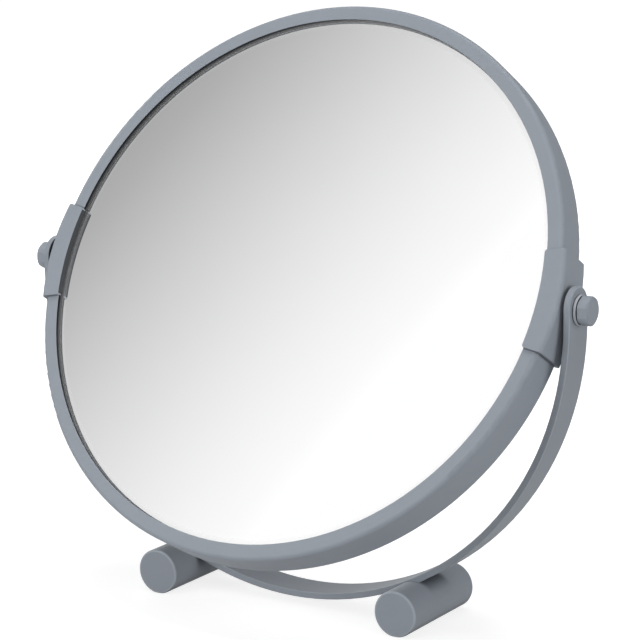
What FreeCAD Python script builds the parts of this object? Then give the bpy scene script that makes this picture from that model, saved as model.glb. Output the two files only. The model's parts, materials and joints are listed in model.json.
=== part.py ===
import FreeCAD, Part
import math
import os

# A round two-sided mirror that tilts between the arms of a flat-bar hoop, which stands
# on two cylindrical feet. Lengths are in millimetres and angles in degrees. The pivot
# axis runs along X, the viewer looks along +Y, Z is up, and the feet stand on Z = 0.
# The head is built upright round the middle of its pivot axis, with the flat mirror
# facing -Y, and is then tilted back and lifted to the pivot's height.

# Rim: a channel rolled to a ring, in two halves
rim_width = 13.2
rim_wall = 0.9
rim_corner_radius = 1.4
lip_reach = 4.85
lip_edge_radius = 0.3
rim_joint_gap = 0.2

# Glasses, their gaskets and what holds them apart
glass_radius = 85.25
glass_thickness = 1.8
gasket_thickness = 0.9
gasket_setback = 0.3
magnifier_curvature = 1000.0
core_ring_reach = 6.0
core_play = 0.1
pad_thickness = 0.8
pad_play = 0.3

# Sleeves over the joints of the rim
sleeve_half_angle = 10.2
sleeve_side_wall = 1.75
sleeve_bow_radius = 66.0
sleeve_face_wall = 0.9
sleeve_turned_edge = 0.3
sleeve_corner_radius = 1.6
sleeve_end_radius = 1.0
sleeve_edge_radius = 0.25

# Pivot bolts and the stack of pieces on each of them
bolt_diameter = 5.0
bolt_head_flats = 8.0
bolt_head_height = 3.5
bolt_corner_cut = 0.35
bolt_face_setback = 0.45
bolt_chamfer_angle = 30.0
bolt_collar_diameter = 7.2
bolt_collar_height = 0.3
bolt_running_clearance = 0.1
bolt_thread_clearance = 0.03
washer_diameter = 8.8
washer_thickness = 1.0
washer_edge_radius = 0.3
spacer_diameter = 7.0
spacer_thickness = 0.95
pivot_play = 0.05
nut_plate_thickness = 1.8
nut_plate_length = 16.0
nut_plate_edge_room = 0.7
nut_plate_play = 0.2

# Hoop
strip_width = 12.0
strip_thickness = 2.0
strip_edge_radius = 0.35
hoop_drop = 4.3
arm_end_rise = 0.7

# Feet and their rivets
foot_radius = 7.0
foot_length = 35.4
foot_spread = 42.7
foot_sink = 1.55
foot_edge_radius = 0.5
foot_flat_width = 3.0
notch_clearance = 0.1
rivet_diameter = 3.0
rivet_head_diameter = 5.6
rivet_length = 11.0
rivet_clearance = 0.02

# How far the head leans back as it stands
rest_tilt = 29.0

# How far a cutting shape runs past what it cuts
overrun = 1.0

# Faces that meet at less than this angle run smoothly into each other
smooth_angle = 10.0

# Worked out from the sizes above
nut_plate_radius = glass_radius + nut_plate_play
channel_radius = nut_plate_radius + nut_plate_thickness
rim_radius = channel_radius + rim_wall
rim_half_width = rim_width / 2
channel_half_width = rim_half_width - rim_wall
lip_radius = rim_radius - lip_reach
nut_plate_half_width = channel_half_width - nut_plate_edge_room
glass_seat = channel_half_width - gasket_thickness
front_glass_back = glass_thickness - glass_seat
magnifier_centre = glass_seat + math.sqrt(magnifier_curvature**2 - glass_radius**2)
magnifier_back_curvature = magnifier_curvature + glass_thickness
core_radius = channel_radius - core_play
core_inner_radius = glass_radius - core_ring_reach
sleeve_reach = rim_radius + sleeve_side_wall
hoop_inner_radius = sleeve_reach + spacer_thickness + pivot_play
hoop_outer_radius = hoop_inner_radius + strip_thickness
washer_seat = hoop_outer_radius + pivot_play
bolt_head_seat = washer_seat + washer_thickness
bolt_hole_radius = bolt_diameter / 2 + bolt_running_clearance
foot_distance = hoop_outer_radius + foot_radius - foot_sink
foot_drop = math.sqrt(foot_distance**2 - foot_spread**2)
foot_flat_drop = math.sqrt(foot_radius**2 - (foot_flat_width / 2)**2)
hoop_height = foot_drop + foot_flat_drop
pivot_height = hoop_height + hoop_drop

ORIGIN = FreeCAD.Vector(0, 0, 0)
X_AXIS = FreeCAD.Vector(1, 0, 0)
Y_AXIS = FreeCAD.Vector(0, 1, 0)
Z_AXIS = FreeCAD.Vector(0, 0, 1)
BOW_CENTRE = FreeCAD.Vector(sleeve_reach - sleeve_bow_radius, 0, 0)
HOOP_CENTRE = FreeCAD.Vector(0, 0, hoop_height)
PIVOT_CENTRE = FreeCAD.Vector(0, 0, pivot_height)


def section(corners):
    """A flat face in the XY plane. Each corner is (x, y, rounding radius)."""
    count = len(corners)
    points = [FreeCAD.Vector(x, y, 0) for x, y, _ in corners]
    starts, ends, middles = [], [], []
    for index, (_, _, radius) in enumerate(corners):
        here = points[index]
        back = (points[index - 1] - here).normalize()
        ahead = (points[(index + 1) % count] - here).normalize()
        half_angle = back.getAngle(ahead) / 2
        setback = radius / math.tan(half_angle)
        inward = (back + ahead).normalize()
        starts.append(here + back * setback)
        ends.append(here + ahead * setback)
        middles.append(here + inward * (radius / math.sin(half_angle) - radius))
    edges = []
    for index, (_, _, radius) in enumerate(corners):
        if radius > 0:
            edges.append(Part.Arc(starts[index], middles[index], ends[index]).toShape())
        edges.append(Part.makeLine(ends[index], starts[(index + 1) % count]))
    return Part.Face(Part.Wire(edges))


def sharp_edges(shape):
    """The edges where two faces meet at an angle."""
    sharp = []
    for edge in shape.Edges:
        middle = edge.valueAt((edge.FirstParameter + edge.LastParameter) / 2)
        faces = shape.ancestorsOfType(edge, Part.Face)
        normals = [face.normalAt(*face.Surface.parameter(middle)) for face in faces]
        if math.degrees(normals[0].getAngle(normals[-1])) > smooth_angle:
            sharp.append(edge)
    return sharp


def ring(face, half_angle=180.0):
    """A section turned round the Y axis, as far each way from +X as half_angle."""
    turned = face.copy()
    turned.rotate(ORIGIN, Y_AXIS, half_angle)
    return turned.revolve(ORIGIN, Y_AXIS, -2 * half_angle)


def disc(radius, low, high, axis=Y_AXIS, centre=ORIGIN):
    """A cylinder along an axis, from one distance along it to another."""
    return Part.makeCylinder(radius, high - low, centre + axis * low, axis)


def block(low, high):
    """A box between two corners."""
    size = [b - a for a, b in zip(low, high)]
    return Part.makeBox(*size, FreeCAD.Vector(*low))


def on_side(shape, side):
    """A piece made on the right, or turned round to the left."""
    placed = shape.copy()
    if side == "left":
        placed.rotate(ORIGIN, Z_AXIS, 180)
    return placed


def tilted(shape):
    """A piece of the upright head, leant back and lifted to the pivot's height."""
    placed = shape.copy()
    placed.rotate(ORIGIN, X_AXIS, -rest_tilt)
    placed.translate(PIVOT_CENTRE)
    return placed


def rim_envelope():
    """The rim's outside, as a solid ring."""
    return ring(section([
        (lip_radius, -rim_half_width, lip_edge_radius),
        (rim_radius, -rim_half_width, rim_corner_radius),
        (rim_radius, rim_half_width, rim_corner_radius),
        (lip_radius, rim_half_width, lip_edge_radius),
    ]))


def rim_half(sign):
    """The upper (+1) or lower (-1) half of the rim, with half of each bolt hole."""
    channel = ring(section([
        (lip_radius - rim_wall, -channel_half_width, 0),
        (channel_radius, -channel_half_width, 0),
        (channel_radius, channel_half_width, 0),
        (lip_radius - rim_wall, channel_half_width, 0),
    ]))
    bolt_hole = disc(bolt_hole_radius, -sleeve_reach, sleeve_reach, X_AXIS)
    low, high = sorted([sign * rim_joint_gap / 2, sign * sleeve_reach])
    keep = block((-sleeve_reach, -rim_width, low), (sleeve_reach, rim_width, high))
    return rim_envelope().cut(channel).cut(bolt_hole).common(keep)


def front_glass():
    """The flat mirror, seated behind the front lip."""
    return disc(glass_radius, -glass_seat, -glass_seat + glass_thickness)


def rear_glass():
    """The magnifying mirror: dished, and hollow towards the back."""
    centre = FreeCAD.Vector(0, magnifier_centre, 0)
    blank = disc(glass_radius, -glass_seat, glass_seat + rim_wall)
    back = Part.makeSphere(magnifier_back_curvature, centre)
    face = Part.makeSphere(magnifier_curvature, centre)
    return blank.common(back).cut(face)


def gasket(sign):
    """The rubber ring between a glass and the front (-1) or back (+1) lip of the rim."""
    low, high = sorted([sign * glass_seat, sign * channel_half_width])
    hole = disc(lip_radius + gasket_setback, -rim_width, rim_width)
    return disc(glass_radius, low, high).cut(hole)


def core_ring():
    """A T-section ring: its web parts the glasses and its flange centres them."""
    flange_half_width = channel_half_width - core_play
    flange_radius = glass_radius + core_play
    blank = ring(section([
        (core_inner_radius, front_glass_back, 0),
        (flange_radius, front_glass_back, 0),
        (flange_radius, -flange_half_width, 0),
        (core_radius, -flange_half_width, 0),
        (core_radius, flange_half_width, 0),
        (flange_radius, flange_half_width, 0),
        (flange_radius, glass_seat - glass_thickness, 0),
        (core_inner_radius, glass_seat - glass_thickness, 0),
    ]))
    dish_centre = FreeCAD.Vector(0, magnifier_centre - core_play, 0)
    dish = Part.makeSphere(magnifier_back_curvature, dish_centre)
    inside_flange = disc(flange_radius, front_glass_back, rim_half_width)
    pocket_half_width = nut_plate_half_width + core_play
    pocket_half_length = nut_plate_length / 2 + core_play
    across = block((-rim_radius, -pocket_half_width, -pocket_half_length),
                   (rim_radius, pocket_half_width, pocket_half_length))
    pockets = across.cut(disc(flange_radius, -rim_width, rim_width))
    return blank.cut(dish.common(inside_flange)).cut(pockets)


def core_pad():
    """A card disc stuck on the back of the flat mirror, clear of the dished one."""
    return disc(core_inner_radius - pad_play, front_glass_back, front_glass_back + pad_thickness)


def sleeve():
    """A clip round the rim over its joint: bowed outside, and turned in over each lip's edge."""
    outer_half_width = rim_half_width + sleeve_face_wall
    inner_radius = lip_radius - sleeve_turned_edge
    wedge = ring(section([
        (inner_radius, -outer_half_width, 0),
        (hoop_inner_radius, -outer_half_width, 0),
        (hoop_inner_radius, outer_half_width, 0),
        (inner_radius, outer_half_width, 0),
    ]), sleeve_half_angle)
    bow = ring(section([
        (0, -outer_half_width, 0),
        (sleeve_bow_radius, -outer_half_width, sleeve_corner_radius),
        (sleeve_bow_radius, outer_half_width, sleeve_corner_radius),
        (0, outer_half_width, 0),
    ]))
    bow.translate(BOW_CENTRE)
    blank = wedge.common(bow)
    across = [edge for edge in blank.Edges if abs(edge.CenterOfMass.y) < rim_wall]
    corners = [edge for edge in across if edge.CenterOfMass.distanceToPoint(ORIGIN) < lip_radius]
    blank = blank.makeFillet(sleeve_end_radius, corners)
    blank = blank.makeFillet(sleeve_edge_radius, sharp_edges(blank))
    mouth = ring(section([
        (inner_radius - rim_wall, -channel_half_width, 0),
        (channel_radius, -channel_half_width, 0),
        (channel_radius, channel_half_width, 0),
        (inner_radius - rim_wall, channel_half_width, 0),
    ]))
    bolt_hole = disc(bolt_hole_radius, lip_radius, hoop_inner_radius, X_AXIS)
    return blank.cut(rim_envelope()).cut(mouth).cut(bolt_hole)


def nut_plate():
    """A tapped plate curved to the inside of the rim's outer wall."""
    half_length = nut_plate_length / 2
    curved = disc(channel_radius, -nut_plate_half_width, nut_plate_half_width)
    curved = curved.cut(disc(nut_plate_radius, -rim_width, rim_width))
    keep = block((0, -rim_width, -half_length), (rim_radius, rim_width, half_length))
    thread = disc(bolt_diameter / 2 + bolt_thread_clearance, 0, rim_radius, X_AXIS)
    return curved.common(keep).cut(thread)


def spacer():
    """A bush between sleeve and hoop, hollowed to sit on the sleeve's round back."""
    blank = disc(spacer_diameter / 2, rim_radius, sleeve_reach + spacer_thickness, X_AXIS)
    seat = disc(sleeve_bow_radius, -spacer_diameter, spacer_diameter, Y_AXIS, BOW_CENTRE)
    bore = disc(bolt_hole_radius, 0, hoop_outer_radius, X_AXIS)
    return blank.cut(seat).cut(bore)


def washer():
    """The round washer under a bolt head."""
    blank = disc(washer_diameter / 2, washer_seat, bolt_head_seat, X_AXIS)
    middle = (washer_seat + bolt_head_seat) / 2
    rims = [edge for edge in blank.Edges if edge.Curve.TypeId == "Part::GeomCircle"]
    blank = blank.makeFillet(washer_edge_radius, [rim for rim in rims if rim.CenterOfMass.x > middle])
    return blank.cut(disc(bolt_hole_radius, hoop_inner_radius, bolt_head_seat + overrun, X_AXIS))


def bolt_head():
    """A hexagon, chamfered, on a round collar. Two flats face up and down in the upright head."""
    base = bolt_head_seat + bolt_collar_height
    end = bolt_head_seat + bolt_head_height
    hexagon_radius = bolt_head_flats / 2 / math.cos(math.pi / 6)
    corners = []
    for index in range(7):
        turn = index * math.pi / 3
        y, z = hexagon_radius * math.cos(turn), hexagon_radius * math.sin(turn)
        corners.append(FreeCAD.Vector(base, y, z))
    hexagon = Part.Face(Part.makePolygon(corners)).extrude(X_AXIS * (end - base))
    outer_radius = hexagon_radius - bolt_corner_cut
    face_radius = bolt_head_flats / 2 - bolt_face_setback
    chamfer = (outer_radius - face_radius) * math.tan(math.radians(bolt_chamfer_angle))
    half_profile = Part.makePolygon([
        FreeCAD.Vector(base, 0, 0),
        FreeCAD.Vector(base, outer_radius, 0),
        FreeCAD.Vector(end - chamfer, outer_radius, 0),
        FreeCAD.Vector(end, face_radius, 0),
        FreeCAD.Vector(end, 0, 0),
        FreeCAD.Vector(base, 0, 0),
    ])
    turned = Part.Face(half_profile).revolve(ORIGIN, X_AXIS, 360)
    collar = disc(bolt_collar_diameter / 2, bolt_head_seat, base, X_AXIS)
    return hexagon.common(turned).fuse(collar)


def pivot_bolt():
    """A bolt through washer, hoop, spacer, sleeve and rim, into the nut plate."""
    shank = disc(bolt_diameter / 2, nut_plate_radius, bolt_head_seat + bolt_head_height / 2, X_AXIS)
    return bolt_head().fuse(shank).removeSplitter()


def foot_direction(side):
    """The way from the middle of the hoop to a foot."""
    sign = 1 if side == "right" else -1
    return FreeCAD.Vector(sign * foot_spread, 0, -foot_drop).normalize()


def rivet_body(side, clearance):
    """A countersunk rivet, or the hole for it, pointing from the hoop's middle into a foot."""
    out = foot_direction(side)
    shank_radius = rivet_diameter / 2 + clearance
    head_radius = rivet_head_diameter / 2 + clearance
    head_depth = head_radius - shank_radius
    start = hoop_inner_radius - overrun
    end = hoop_inner_radius + rivet_length + clearance
    shank = disc(shank_radius, start, end, out, HOOP_CENTRE)
    head_base = HOOP_CENTRE + out * hoop_inner_radius
    head = Part.makeCone(head_radius, shank_radius, head_depth, head_base, out)
    crown = disc(head_radius, start, hoop_inner_radius, out, HOOP_CENTRE)
    return shank.fuse(head).fuse(crown)


def foot_rivet(side):
    """A rivet finished flush with the inside of the hoop."""
    inside = disc(hoop_inner_radius, -strip_width, strip_width, Y_AXIS, HOOP_CENTRE)
    return rivet_body(side, 0).cut(inside).removeSplitter()


def hoop():
    """The flat bar: a half circle with straight arms, rounded and drilled at the pivots."""
    end_centre = PIVOT_CENTRE + Z_AXIS * arm_end_rise
    half_width = strip_width / 2
    outside = disc(hoop_outer_radius, -half_width, half_width, Y_AXIS, HOOP_CENTRE)
    inside = disc(hoop_inner_radius, -strip_width, strip_width, Y_AXIS, HOOP_CENTRE)
    reach = hoop_outer_radius
    below = block((-reach, -strip_width, -reach), (reach, strip_width, hoop_height))
    above = block((-reach, -strip_width, end_centre.z), (reach, strip_width, end_centre.z + reach))
    bar = outside.cut(inside).common(below)
    for sign in (1, -1):
        near, far = sorted([sign * hoop_inner_radius, sign * hoop_outer_radius])
        arm = block((near, -half_width, hoop_height), (far, half_width, end_centre.z))
        rounded_end = disc(half_width, near, far, X_AXIS, end_centre).common(above)
        bar = bar.fuse(arm).fuse(rounded_end)
    bar = bar.removeSplitter()
    long_edges = [edge for edge in bar.Edges if edge.Length > strip_thickness + strip_edge_radius]
    bar = bar.makeFillet(strip_edge_radius, long_edges)
    bar = bar.cut(disc(bolt_hole_radius, -reach - overrun, reach + overrun, X_AXIS, PIVOT_CENTRE))
    for side in ("left", "right"):
        bar = bar.cut(rivet_body(side, rivet_clearance))
    return bar


def foot(side):
    """A cylinder notched for the hoop, drilled for its rivet and flattened where it stands."""
    centre = HOOP_CENTRE + foot_direction(side) * foot_distance
    body = disc(foot_radius, -foot_length / 2, foot_length / 2, Y_AXIS, centre)
    end_edges = [edge for edge in body.Edges if edge.Curve.TypeId == "Part::GeomCircle"]
    body = body.makeFillet(foot_edge_radius, end_edges)
    reach = hoop_outer_radius
    below_table = block((-reach, -foot_length, -foot_radius), (reach, foot_length, 0))
    notch_half_width = strip_width / 2 + notch_clearance
    notch = disc(hoop_outer_radius, -notch_half_width, notch_half_width, Y_AXIS, HOOP_CENTRE)
    return body.cut(below_table).cut(notch).cut(rivet_body(side, rivet_clearance))


def pieces():
    """Every piece of the mirror, by name."""
    made = {
        "hoop": hoop(),
        "upper_rim": tilted(rim_half(1)),
        "lower_rim": tilted(rim_half(-1)),
        "front_glass": tilted(front_glass()),
        "rear_glass": tilted(rear_glass()),
        "front_gasket": tilted(gasket(-1)),
        "rear_gasket": tilted(gasket(1)),
        "core_ring": tilted(core_ring()),
        "core_pad": tilted(core_pad()),
    }
    for side in ("left", "right"):
        made[side + "_foot"] = foot(side)
        made[side + "_foot_rivet"] = foot_rivet(side)
        made[side + "_sleeve"] = tilted(on_side(sleeve(), side))
        made[side + "_nut_plate"] = tilted(on_side(nut_plate(), side))
        made[side + "_spacer"] = tilted(on_side(spacer(), side))
        made[side + "_washer"] = tilted(on_side(washer(), side))
        made[side + "_pivot_bolt"] = tilted(on_side(pivot_bolt(), side))
    return made


os.makedirs("parts", exist_ok=True)
for name, shape in pieces().items():
    shape.exportStep("parts/" + name + ".step")
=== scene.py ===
"""A round two-sided mirror that tilts in a flat-bar hoop on two cylindrical feet."""

import json
import math

import bpy
from mathutils import Matrix, Vector


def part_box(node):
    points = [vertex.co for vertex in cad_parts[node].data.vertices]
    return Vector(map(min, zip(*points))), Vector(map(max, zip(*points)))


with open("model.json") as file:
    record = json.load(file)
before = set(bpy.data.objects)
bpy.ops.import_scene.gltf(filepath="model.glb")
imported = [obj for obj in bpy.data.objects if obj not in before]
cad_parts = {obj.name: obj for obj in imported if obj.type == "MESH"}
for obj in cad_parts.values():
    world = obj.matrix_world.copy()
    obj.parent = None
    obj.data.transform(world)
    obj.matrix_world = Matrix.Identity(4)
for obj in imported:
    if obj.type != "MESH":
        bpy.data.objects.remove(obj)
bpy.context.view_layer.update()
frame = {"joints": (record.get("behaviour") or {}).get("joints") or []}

MM = 0.001
SCENE = bpy.context.scene
WHITE = (1, 1, 1, 1)


# Shader maths

class Value:
    """A shader socket that can be used in Python sums."""

    def __init__(self, material, socket):
        self.material = material
        self.socket = socket

    def maths(self, operation, *others):
        inputs = {0: self}
        for index, other in enumerate(others):
            inputs[index + 1] = other
        return self.material.add("ShaderNodeMath", {"operation": operation}, inputs)

    def __add__(self, other):
        return self.maths("ADD", other)

    def __radd__(self, other):
        return self.maths("ADD", other)

    def __sub__(self, other):
        return self.maths("SUBTRACT", other)

    def __rsub__(self, other):
        return (self * -1) + other

    def __mul__(self, other):
        return self.maths("MULTIPLY", other)

    def __rmul__(self, other):
        return self.maths("MULTIPLY", other)

    def __truediv__(self, other):
        return self.maths("DIVIDE", other)

    def __pow__(self, other):
        return self.maths("POWER", other)

    def __abs__(self):
        return self.maths("ABSOLUTE")

    def rises(self, start, end):
        """Goes smoothly from 0 at start to 1 at end. Start may be the larger of the two."""
        low, high = sorted((start, end))
        levels = (0.0, 1.0) if start < end else (1.0, 0.0)
        return self.material.add("ShaderNodeMapRange", {"interpolation_type": "SMOOTHSTEP"}, {
            0: self, 1: low, 2: high, 3: levels[0], 4: levels[1]})

    def near(self, edge, margins):
        """Goes smoothly from 0 to 1 between two margins, which are measured from an edge."""
        start, end = margins
        return self.rises(edge + start, edge + end)


class Shader:
    """The node tree of a material or of the world."""

    def __init__(self, owner):
        owner.use_nodes = True
        self.tree = owner.node_tree
        self.tree.nodes.clear()

    def add(self, kind, settings=None, inputs=None, output=0):
        """Adds a node: its settings first, and then the values or links of its sockets."""
        node = self.tree.nodes.new(kind)
        for name, setting in (settings or {}).items():
            if name == "stops":
                self.set_stops(node.color_ramp, setting)
            else:
                setattr(node, name, setting)
        for name, value in (inputs or {}).items():
            if isinstance(value, Value):
                self.tree.links.new(value.socket, node.inputs[name])
            else:
                node.inputs[name].default_value = value
        return Value(self, node.outputs[output]) if node.outputs else node

    def set_stops(self, ramp, stops):
        """Gives a colour ramp its grey stops."""
        while len(ramp.elements) < len(stops):
            ramp.elements.new(1.0)
        for element, (place, level) in zip(ramp.elements, stops):
            element.position = place
            element.color = (level, level, level, 1.0)


def start_material(slot):
    """An empty shader for a slot, and the place on the object that it is worked out for."""
    shader = Shader(bpy.data.materials[slot])
    return shader, shader.add("ShaderNodeTexCoord", output=3)


def finish_material(shader, inputs):
    surface = shader.add("ShaderNodeBsdfPrincipled", {}, inputs)
    shader.add("ShaderNodeOutputMaterial", {}, {"Surface": surface})


def coloured(shader, factor, low, high):
    """Goes from one colour to another with the factor."""
    low, high = (end if isinstance(end, Value) else (*end, 1) for end in (low, high))
    return shader.add(
        "ShaderNodeMix", {"data_type": "RGBA"}, {0: factor, 6: low, 7: high}, output=2)


def noise(shader, place, size, detail=2.0, roughness=0.5):
    """Noise whose features are about size across, in millimetres."""
    return shader.add("ShaderNodeTexNoise", {}, {
        "Vector": place, "Scale": 1 / (size * MM), "Detail": detail, "Roughness": roughness})


def patchy(mottle, least_and_extra):
    """An amount that changes from patch to patch."""
    least, extra = least_and_extra
    return least + extra * mottle


def shade_of(colour, amount):
    return tuple(channel * amount for channel in colour)


# Directions

ACROSS = (1.0, 0.0, 0.0)
BACKWARD = (0.0, 1.0, 0.0)
UPWARD = (0.0, 0.0, 1.0)
REST_TILT = math.radians(29.0)
MIRROR_UPWARD = (0.0, math.sin(REST_TILT), math.cos(REST_TILT))

# The pivot in metres, and then sizes in millimetres. The tilt above and the next three repeat
# the part's own sizes, because no piece's corners give them. The others come from the frame.

PIVOT = Vector(frame["joints"][0]["pos_m"])
LIP_REACH = 4.85
STRIP_THICKNESS = 2.0
SLEEVE_HALF_ANGLE = 10.2


def corners(node):
    """The lowest and highest corners of a piece, in millimetres from the pivot."""
    return [(corner - PIVOT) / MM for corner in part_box(node)]


rim_high = corners("upper_rim")[1]
hoop_low, hoop_high = corners("hoop")
washer_low, washer_high = corners("right_washer")
foot_low, foot_high = corners("right_foot")

# The lip, the hoop and the washers are measured from the middle between the pivots, and the
# hoop is centred below it. The feet's height is that of their axes above the table.

LIP_RADIUS = rim_high.x - LIP_REACH
SLEEVE_SLOPE = math.tan(math.radians(SLEEVE_HALF_ANGLE))
STRIP_WIDTH = hoop_high.y - hoop_low.y
HOOP_OUTER_RADIUS = hoop_high.x
HOOP_INNER_RADIUS = HOOP_OUTER_RADIUS - STRIP_THICKNESS
HOOP_DROP = -hoop_low.z - HOOP_OUTER_RADIUS
ARM_END_RISE = hoop_high.z - STRIP_WIDTH / 2
WASHER_SEAT = washer_low.x
WASHER_TOP = washer_high.x
WASHER_RADIUS = washer_high.y
FOOT_RADIUS = (foot_high.x - foot_low.x) / 2
FOOT_LENGTH = foot_high.y - foot_low.y
FOOT_SPREAD = (foot_high.x + foot_low.x) / 2
FOOT_HEIGHT = foot_high.z - foot_low.z - FOOT_RADIUS


def reach(shader, place, direction):
    """How far a place is from the pivot along a direction."""
    way = shader.add("ShaderNodeVectorMath", {"operation": "SUBTRACT"}, {0: place, 1: PIVOT})
    along = shader.add(
        "ShaderNodeVectorMath", {"operation": "DOT_PRODUCT"}, {0: way, 1: direction}, output=1)
    return along * (1 / MM)


def length_of(one, other):
    return (one * one + other * other).maths("SQRT")


def mirror_radius(shader, place):
    """Distance from the axis through the middle of both mirrors."""
    return length_of(reach(shader, place, ACROSS), reach(shader, place, MIRROR_UPWARD))


def sleeve_slope(shader, place):
    """How steeply a place on the head lies above or below the line through the pivots."""
    return abs(reach(shader, place, MIRROR_UPWARD)) / abs(reach(shader, place, ACROSS))


# Paint. The sizes of its patterns and the heights of its bumps are in millimetres.

PAINT = (0.286, 0.316, 0.358)
# A near-black metal, far darker than bare steel, that paints shade on the lip's cut edge.
LIP_SHADE_METAL = (0.012, 0.014, 0.017)
# A near-black paint that paints shade on the sleeves' edges beside the mirror.
SLEEVE_EDGE_SHADE_PAINT = (0.024, 0.028, 0.033)
# The dark tone of painted shade at the sleeves' ends, in gaps, under the washers and on the feet.
PAINTED_SHADE = (0.028, 0.032, 0.037)
# A lighter paint that paints highlights on the rounded edges of the strip and the feet.
PAINTED_HIGHLIGHT = (0.40, 0.445, 0.49)
# A pale grey that paints a glint round the washers' edges.
PAINTED_GLINT = (0.54, 0.57, 0.61)

DARKEST_TONE = 0.90
LIGHTEST_TONE = 1.10
PAINT_ROUGHNESS = 0.54
PAINT_IOR = 1.45
DRIFT_SIZE = 40
DRIFT_SHARE = 0.5
MOTTLE_SIZE = 3.5
MOTTLE_SHARE = 0.35
MOTTLE_ROUGHNESS = 0.10
GRAIN_SIZE = 0.28
GRAIN_SHARE = 0.15
GRAIN_ROUGHNESS = 0.06
GRAIN_HEIGHT = 0.006
GRAIN_STRENGTH = 0.5
PEEL_SIZE = 1.3
PEEL_HEIGHT = 0.02
PEEL_STRENGTH = 0.55


def powder_coat(slot, lightness, local_tones):
    """Satin powder coat: orange peel, a finer grain, a faint drift in tone, and local painted shade
    and highlights.
    """
    shader, place = start_material(slot)
    drift = noise(shader, place, DRIFT_SIZE)
    mottle = noise(shader, place, MOTTLE_SIZE, detail=4.0, roughness=0.6)
    grain = noise(shader, place, GRAIN_SIZE)
    peel = noise(shader, place, PEEL_SIZE, detail=1.5)
    tone = DRIFT_SHARE * drift + MOTTLE_SHARE * mottle + GRAIN_SHARE * grain
    base = coloured(
        shader, tone,
        shade_of(PAINT, DARKEST_TONE * lightness), shade_of(PAINT, LIGHTEST_TONE * lightness))
    tones = local_tones(shader, place, mottle)
    for amount, colour in tones:
        base = coloured(shader, amount, base, colour)
    # The near-black metal that paints shade on the lip is the one metallic tone.
    metal = sum(amount for amount, colour in tones if colour is LIP_SHADE_METAL)
    gloss = PAINT_ROUGHNESS + MOTTLE_ROUGHNESS * mottle + GRAIN_ROUGHNESS * grain
    peel_bump = shader.add("ShaderNodeBump", {}, {
        "Strength": PEEL_STRENGTH, "Distance": PEEL_HEIGHT * MM, "Height": peel})
    grain_bump = shader.add("ShaderNodeBump", {}, {
        "Strength": GRAIN_STRENGTH, "Distance": GRAIN_HEIGHT * MM, "Height": grain,
        "Normal": peel_bump})
    finish_material(shader, {
        "Base Color": base, "Metallic": metal, "Roughness": gloss, "Normal": grain_bump,
        "IOR": PAINT_IOR})


# Local tones: painted shade and painted highlights. A margin says where a tone starts and where it
# is full, in millimetres out from the edge it is measured from, or as a difference in slope at the
# ends of the sleeves. Patches are the least amount, and what is added to it where the mottle is
# full.

SLEEVE_END_PATCHES = (0.3, 0.5)
LIP_SHADE_MARGIN = (0.07, 0.01)
RIM_END_SHADE = (0.0045, 0.001)


def rim_tones(shader, place, mottle):
    """Painted shade: a near-black metal on the cut edge of the lip, and a dark line against the
    ends of the sleeves.
    """
    # Painted shade on the lip's cut edge, beside the mirror.
    lip_shade = mirror_radius(shader, place).near(LIP_RADIUS, LIP_SHADE_MARGIN)
    # Painted shade: a dark line on the rim against the ends of the sleeves.
    end_shade = sleeve_slope(shader, place).near(SLEEVE_SLOPE, RIM_END_SHADE)
    return (
        (lip_shade, LIP_SHADE_METAL),
        (end_shade * patchy(mottle, SLEEVE_END_PATCHES), PAINTED_SHADE))


SLEEVE_EDGE_SHADE = (-0.20, -0.27)
SLEEVE_END_SHADE = (-0.0022, -0.0006)


def sleeve_tones(shader, place, mottle):
    """Painted shade: near-black paint on the sleeve's edge beside the mirror, and painted shade on
    its ends.
    """
    # Painted shade on the sleeve's edge beside the mirror.
    edge = mirror_radius(shader, place).near(LIP_RADIUS, SLEEVE_EDGE_SHADE)
    # Painted shade: a dark line on the ends of the sleeve.
    end_shade = sleeve_slope(shader, place).near(SLEEVE_SLOPE, SLEEVE_END_SHADE)
    return (
        (edge, SLEEVE_EDGE_SHADE_PAINT),
        (end_shade * patchy(mottle, SLEEVE_END_PATCHES), PAINTED_SHADE))


STRIP_HIGHLIGHT = (-0.55, -0.25)
STRIP_EDGE_FACE = (-0.02, -0.12)
STRIP_PATCHES = (0.35, 0.3)
BEARING_FACE = (0.3, 0.05)
BEARING_BACK = (-1.5, -0.5)
BEARING_RISE = (12.0, 8.0)


def hoop_tones(shader, place, mottle):
    """Painted highlights along the strip's edges, and painted shade where it bears on the spacers.
    """
    side = abs(reach(shader, place, ACROSS))
    rise = reach(shader, place, UPWARD)
    past_arm = (rise - ARM_END_RISE).maths("MAXIMUM", 0.0)
    depth = length_of(reach(shader, place, BACKWARD), past_arm)
    # Painted highlights along the strip's edges.
    highlight = (
        depth.near(STRIP_WIDTH / 2, STRIP_HIGHLIGHT) * depth.near(STRIP_WIDTH / 2, STRIP_EDGE_FACE))
    # Painted shade in the gap where the strip bears on the spacers.
    bearing = (
        side.near(HOOP_INNER_RADIUS, BEARING_FACE) * side.near(HOOP_INNER_RADIUS, BEARING_BACK)
        * abs(rise).rises(*BEARING_RISE))
    return (
        (highlight * patchy(mottle, STRIP_PATCHES), PAINTED_HIGHLIGHT),
        (bearing, PAINTED_SHADE))


FOOT_HIGHLIGHT = (-0.75, -0.35)
FOOT_PATCHES = (0.45, 0.5)
BELOW_HOOP = (5.5, -0.5)
BELOW_HOOP_DEPTH = (0.8, -1.8)
BELOW_HOOP_PATCHES = (0.75, 0.2)
UNDERSIDE_HEIGHT = (4.4, 0.9)
UNDERSIDE_SURFACE = (-0.4, -0.1)
UNDERSIDE_PATCHES = (0.65, 0.3)


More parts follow.
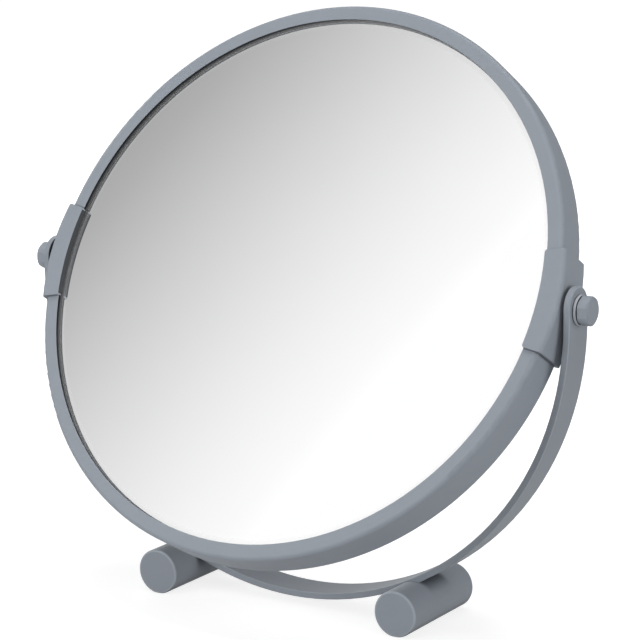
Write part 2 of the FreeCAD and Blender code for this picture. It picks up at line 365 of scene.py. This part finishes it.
def foot_tones(shader, place, mottle):
    """Painted highlights round the feet's ends, and painted shade below the hoop and underneath."""
    side = abs(reach(shader, place, ACROSS))
    rise = reach(shader, place, UPWARD)
    depth = abs(reach(shader, place, BACKWARD))
    height = rise + PIVOT.z / MM
    radius = length_of(side - FOOT_SPREAD, height - FOOT_HEIGHT)
    # Painted highlights round the feet's ends.
    highlight = radius.near(FOOT_RADIUS, FOOT_HIGHLIGHT) * depth.near(FOOT_LENGTH / 2, FOOT_HIGHLIGHT)
    # Painted shade on the feet below the hoop.
    below_hoop = (
        length_of(side, rise + HOOP_DROP).near(HOOP_OUTER_RADIUS, BELOW_HOOP)
        * depth.near(STRIP_WIDTH / 2, BELOW_HOOP_DEPTH))
    # Painted shade along the feet's undersides.
    underside = height.rises(*UNDERSIDE_HEIGHT) * radius.near(FOOT_RADIUS, UNDERSIDE_SURFACE)
    return (
        (highlight * patchy(mottle, FOOT_PATCHES), PAINTED_HIGHLIGHT),
        (below_hoop * patchy(mottle, BELOW_HOOP_PATCHES), PAINTED_SHADE),
        (underside * patchy(mottle, UNDERSIDE_PATCHES), PAINTED_SHADE))


WASHER_TOP_FACE = (0.05, -0.02)
WASHER_GLINT = (-0.25, -0.05)
WASHER_PATCHES = (0.7, 0.3)
UNDER_WASHER = (0.30, 0.16)
GROOVE_SIDE = (0.32, 0.22)
GROOVE_MOUTH = (-0.08, -0.24)


def bolt_tones(shader, place, mottle):
    """A painted glint round the washer's edge, with painted shade under it and under the bolt's
    head.
    """
    side = abs(reach(shader, place, ACROSS))
    radius = length_of(reach(shader, place, BACKWARD), reach(shader, place, UPWARD))
    # A painted glint round the washer's edge, and painted shade under the washer and in the groove
    # below the bolt's head.
    highlight = side.near(WASHER_TOP, WASHER_TOP_FACE) * radius.near(WASHER_RADIUS, WASHER_GLINT)
    under = side.near(WASHER_SEAT, UNDER_WASHER)
    groove = side.near(WASHER_TOP, GROOVE_SIDE) * radius.near(WASHER_RADIUS, GROOVE_MOUTH)
    return (
        (highlight * patchy(mottle, WASHER_PATCHES), PAINTED_GLINT),
        (under, PAINTED_SHADE),
        (groove, PAINTED_SHADE))


# Mirrors

CLEAN_SILVER = (0.955, 0.958, 0.957)
HAZY_SILVER = (0.945, 0.948, 0.947)
GLASS_ROUGHNESS = 0.004
HAZE_ROUGHNESS = 0.012
HAZE_SIZE = 45
HAZE_STOPS = ((0.45, 0.0), (0.75, 1.0))
BLOTCH_SIZE = 2.0
LIP_REFLECTION_MARGIN = (-2.2, -1.2)
LIP_REFLECTION_PATCHES = (0.15, 0.06)


def silvered_glass(slot):
    """Silvered glass with a trace of haze where it was wiped, and a painted reflection at the lip:
    a paler, less metallic ring that stands in for the lip's image.
    """
    shader, place = start_material(slot)
    wiped = noise(shader, place, HAZE_SIZE, detail=3.0, roughness=0.55)
    haze = shader.add("ShaderNodeValToRGB", {"stops": HAZE_STOPS}, {"Fac": wiped})
    blotches = noise(shader, place, BLOTCH_SIZE)
    # Painted reflection: a paler, less metallic ring beside the lip.
    lip_reflection = mirror_radius(shader, place).near(LIP_RADIUS, LIP_REFLECTION_MARGIN) * patchy(blotches, LIP_REFLECTION_PATCHES)
    finish_material(shader, {
        "Base Color": coloured(shader, haze, CLEAN_SILVER, HAZY_SILVER),
        "Metallic": 1.0 - lip_reflection,
        "Roughness": GLASS_ROUGHNESS + HAZE_ROUGHNESS * haze})


# Pieces that are hardly seen

DARKEST_TEXTURE = 0.8
LIGHTEST_TEXTURE = 1.2
TEXTURE_HEIGHT = 0.02
TEXTURE_STRENGTH = 0.4
TEXTURE_ROUGHNESS = 0.1


def matt_finish(slot, colour, texture_size, roughness):
    """Plastic, rubber or card with a fine, even texture."""
    shader, place = start_material(slot)
    texture = noise(shader, place, texture_size, detail=3.0)
    bump = shader.add("ShaderNodeBump", {}, {
        "Strength": TEXTURE_STRENGTH, "Distance": TEXTURE_HEIGHT * MM, "Height": texture})
    finish_material(shader, {
        "Base Color": coloured(
            shader, texture,
            shade_of(colour, DARKEST_TEXTURE), shade_of(colour, LIGHTEST_TEXTURE)),
        "Roughness": roughness + TEXTURE_ROUGHNESS * texture,
        "Normal": bump})


DARK_ZINC = (0.48, 0.49, 0.50)
LIGHT_ZINC = (0.66, 0.66, 0.65)
ZINC_ROUGHNESS = 0.3
LINE_SIZE = 0.3
LINE_STRETCH = (1.0, 1.0, 0.08)
LINE_ROUGHNESS = 0.2


def plated_steel(slot):
    """Zinc-plated steel with the fine lines of the rolled sheet."""
    shader, place = start_material(slot)
    stretched = shader.add("ShaderNodeMapping", {}, {"Vector": place, "Scale": LINE_STRETCH})
    lines = noise(shader, stretched, LINE_SIZE, detail=3.0)
    finish_material(shader, {
        "Base Color": coloured(shader, lines, DARK_ZINC, LIGHT_ZINC),
        "Metallic": 1.0,
        "Roughness": ZINC_ROUGHNESS + LINE_ROUGHNESS * lines})


def finish_pieces():
    """Gives every slot its material. A paint's lightness is a share of the plain paint's. All the
    painted pieces wear one paint, so the darker copies on the sleeves, hoop, feet and bolts are
    painted shade.
    """
    powder_coat("rim_paint", 1.0, rim_tones)
    powder_coat("sleeve_paint", 0.99, sleeve_tones)
    powder_coat("hoop_paint", 0.92, hoop_tones)
    powder_coat("foot_paint", 0.97, foot_tones)
    powder_coat("bolt_paint", 0.97, bolt_tones)
    silvered_glass("flat_mirror")
    silvered_glass("magnifying_mirror")
    matt_finish("spacer_nylon", (0.022, 0.023, 0.025), texture_size=0.4, roughness=0.5)
    matt_finish("core_plastic", (0.04, 0.04, 0.042), texture_size=0.6, roughness=0.45)
    matt_finish("core_card", (0.40, 0.31, 0.21), texture_size=0.5, roughness=0.8)
    matt_finish("gasket_rubber", (0.012, 0.012, 0.013), texture_size=0.3, roughness=0.55)
    plated_steel("plate_steel")


# Camera

AZIMUTH = math.radians(32.051)
ELEVATION = math.radians(11.255)
ROLL = math.radians(-0.551)
DISTANCE = 757.946 * MM
ASIDE = 5.876 * MM
RAISED = -11.665 * MM
FOCAL_PIXELS = 2517.4
IMAGE_PIXELS = 640
SENSOR_WIDTH = 36.0


def camera_axes():
    """The camera's right, up and backward directions."""
    backward = Vector((
        math.sin(AZIMUTH) * math.cos(ELEVATION),
        -math.cos(AZIMUTH) * math.cos(ELEVATION),
        math.sin(ELEVATION)))
    level = Vector((math.cos(AZIMUTH), math.sin(AZIMUTH), 0))
    upright = backward.cross(level)
    right = math.cos(ROLL) * level + math.sin(ROLL) * upright
    up = math.cos(ROLL) * upright - math.sin(ROLL) * level
    return right, up, backward


def add_camera():
    right, up, backward = camera_axes()
    data = bpy.data.cameras.new("camera")
    data.sensor_width = SENSOR_WIDTH
    data.lens = FOCAL_PIXELS / IMAGE_PIXELS * SENSOR_WIDTH
    camera = bpy.data.objects.new("camera", data)
    SCENE.collection.objects.link(camera)
    turn = Matrix((right, up, backward)).transposed()
    camera.matrix_world = Matrix.Translation(
        PIVOT + backward * DISTANCE + right * ASIDE + up * RAISED) @ turn.to_4x4()
    SCENE.camera = camera


# Floor, in metres. Its glow grows with the distance from the object.

FLOOR_SIZE = 12.0
FLOOR_COLOUR = (0.4, 0.4, 0.4, 1)
FLOOR_GLOW = 0.80
EXTRA_GLOW = 0.22
GLOW_RISE = (0.15, 0.6)


def light_path(shader, ray):
    """1 for one kind of ray, and 0 for all others."""
    return shader.add("ShaderNodeLightPath", output=ray)


def add_floor():
    """A pale floor that looks white and keeps a soft shadow."""
    bpy.ops.object.select_all(action="DESELECT")
    bpy.ops.mesh.primitive_plane_add(size=FLOOR_SIZE, location=(0, 0, 0))
    floor = bpy.context.object
    floor.name = "floor"
    material = bpy.data.materials.new("floor_white")
    shader = Shader(material)
    seen = light_path(shader, "Is Camera Ray")
    for ray in ("Is Glossy Ray", "Is Transmission Ray"):
        seen = seen.maths("MAXIMUM", light_path(shader, ray))
    place = shader.add("ShaderNodeTexCoord", output=3)
    distance = shader.add("ShaderNodeVectorMath", {"operation": "LENGTH"}, {0: place}, output=1)
    level = FLOOR_GLOW + EXTRA_GLOW * distance.rises(*GLOW_RISE)
    lit = shader.add("ShaderNodeBsdfDiffuse", {}, {"Color": FLOOR_COLOUR})
    glow = shader.add("ShaderNodeEmission", {}, {"Color": WHITE, "Strength": level})
    glowing = shader.add("ShaderNodeAddShader", {}, {0: lit, 1: glow})
    surface = shader.add("ShaderNodeMixShader", {}, {0: seen, 1: lit, 2: glowing})
    shader.add("ShaderNodeOutputMaterial", {}, {"Surface": surface})
    floor.data.materials.append(material)


# Room. How bright it is in each direction, as a display shows it from 0 to 1: a slope over the
# directions, held between two limits and lifted a little halfway.

ROOM_LEVEL = -0.296
ROOM_SLOPE = (1.0875, -2.483, 0.492)
ROOM_DARKEST = 0.50
ROOM_BRIGHTEST = 1.02
LIFT_MIDDLE = 0.852
LIFT_REACH = 0.148
LIFT = 0.032
DISPLAY_OFFSET = 0.055
DISPLAY_POWER = 2.4
ROOM_FILL = 0.15


def room_light(shader):
    """The room's brightness as light."""
    way = shader.add("ShaderNodeTexCoord", output=0)
    slope = shader.add(
        "ShaderNodeVectorMath", {"operation": "DOT_PRODUCT"}, {0: way, 1: ROOM_SLOPE}, output=1)
    shown = (slope + ROOM_LEVEL).maths("MAXIMUM", ROOM_DARKEST).maths("MINIMUM", ROOM_BRIGHTEST)
    from_middle = (shown - LIFT_MIDDLE) * (1 / LIFT_REACH)
    lifted = shown + LIFT * (1.0 - from_middle * from_middle).maths("MAXIMUM", 0.0)
    return ((lifted + DISPLAY_OFFSET) * (1 / (1 + DISPLAY_OFFSET))) ** DISPLAY_POWER


def add_room():
    """A white room, which reflections show greyer towards the upper left and the back."""
    world = bpy.data.worlds.new("room")
    SCENE.world = world
    shader = Shader(world)
    light = room_light(shader)
    fill = shader.add("ShaderNodeBackground", {}, {"Color": light, "Strength": ROOM_FILL})
    reflected = shader.add("ShaderNodeBackground", {}, {"Color": light, "Strength": 1.0})
    white = shader.add("ShaderNodeBackground", {}, {"Color": WHITE, "Strength": 1.0})
    room = shader.add("ShaderNodeMixShader", {}, {
        0: light_path(shader, "Is Glossy Ray"), 1: fill, 2: reflected})
    mixed = shader.add("ShaderNodeMixShader", {}, {
        0: light_path(shader, "Is Camera Ray"), 1: room, 2: white})
    shader.add("ShaderNodeOutputWorld", {}, {"Surface": mixed})


# Lamps: square softboxes that point at the pivot, with places in metres and powers in watts

SOFTBOX_SIZE = 0.8
SOFTBOXES = (
    ("top_softbox", (0.0, 0.0, 1.4), 10.4),
    ("front_left_softbox", (-0.7, -1.1, 0.25), 9.9),
    ("front_right_softbox", (0.7, -1.1, 0.3), 3.4),
    ("right_softbox", (1.3, 0.0, 0.25), 7.2),
    ("back_left_softbox", (-1.0, 0.7, 0.5), 6.7),
)


def add_softbox(name, place, power):
    data = bpy.data.lights.new(name, "AREA")
    data.size = SOFTBOX_SIZE
    data.energy = power
    lamp = bpy.data.objects.new(name, data)
    SCENE.collection.objects.link(lamp)
    lamp.location = place
    lamp.rotation_mode = "QUATERNION"
    lamp.rotation_quaternion = (PIVOT - Vector(place)).to_track_quat("-Z", "Y")


finish_pieces()
add_camera()
add_floor()
add_room()
for softbox in SOFTBOXES:
    add_softbox(*softbox)

SCENE.view_settings.view_transform = "Standard"
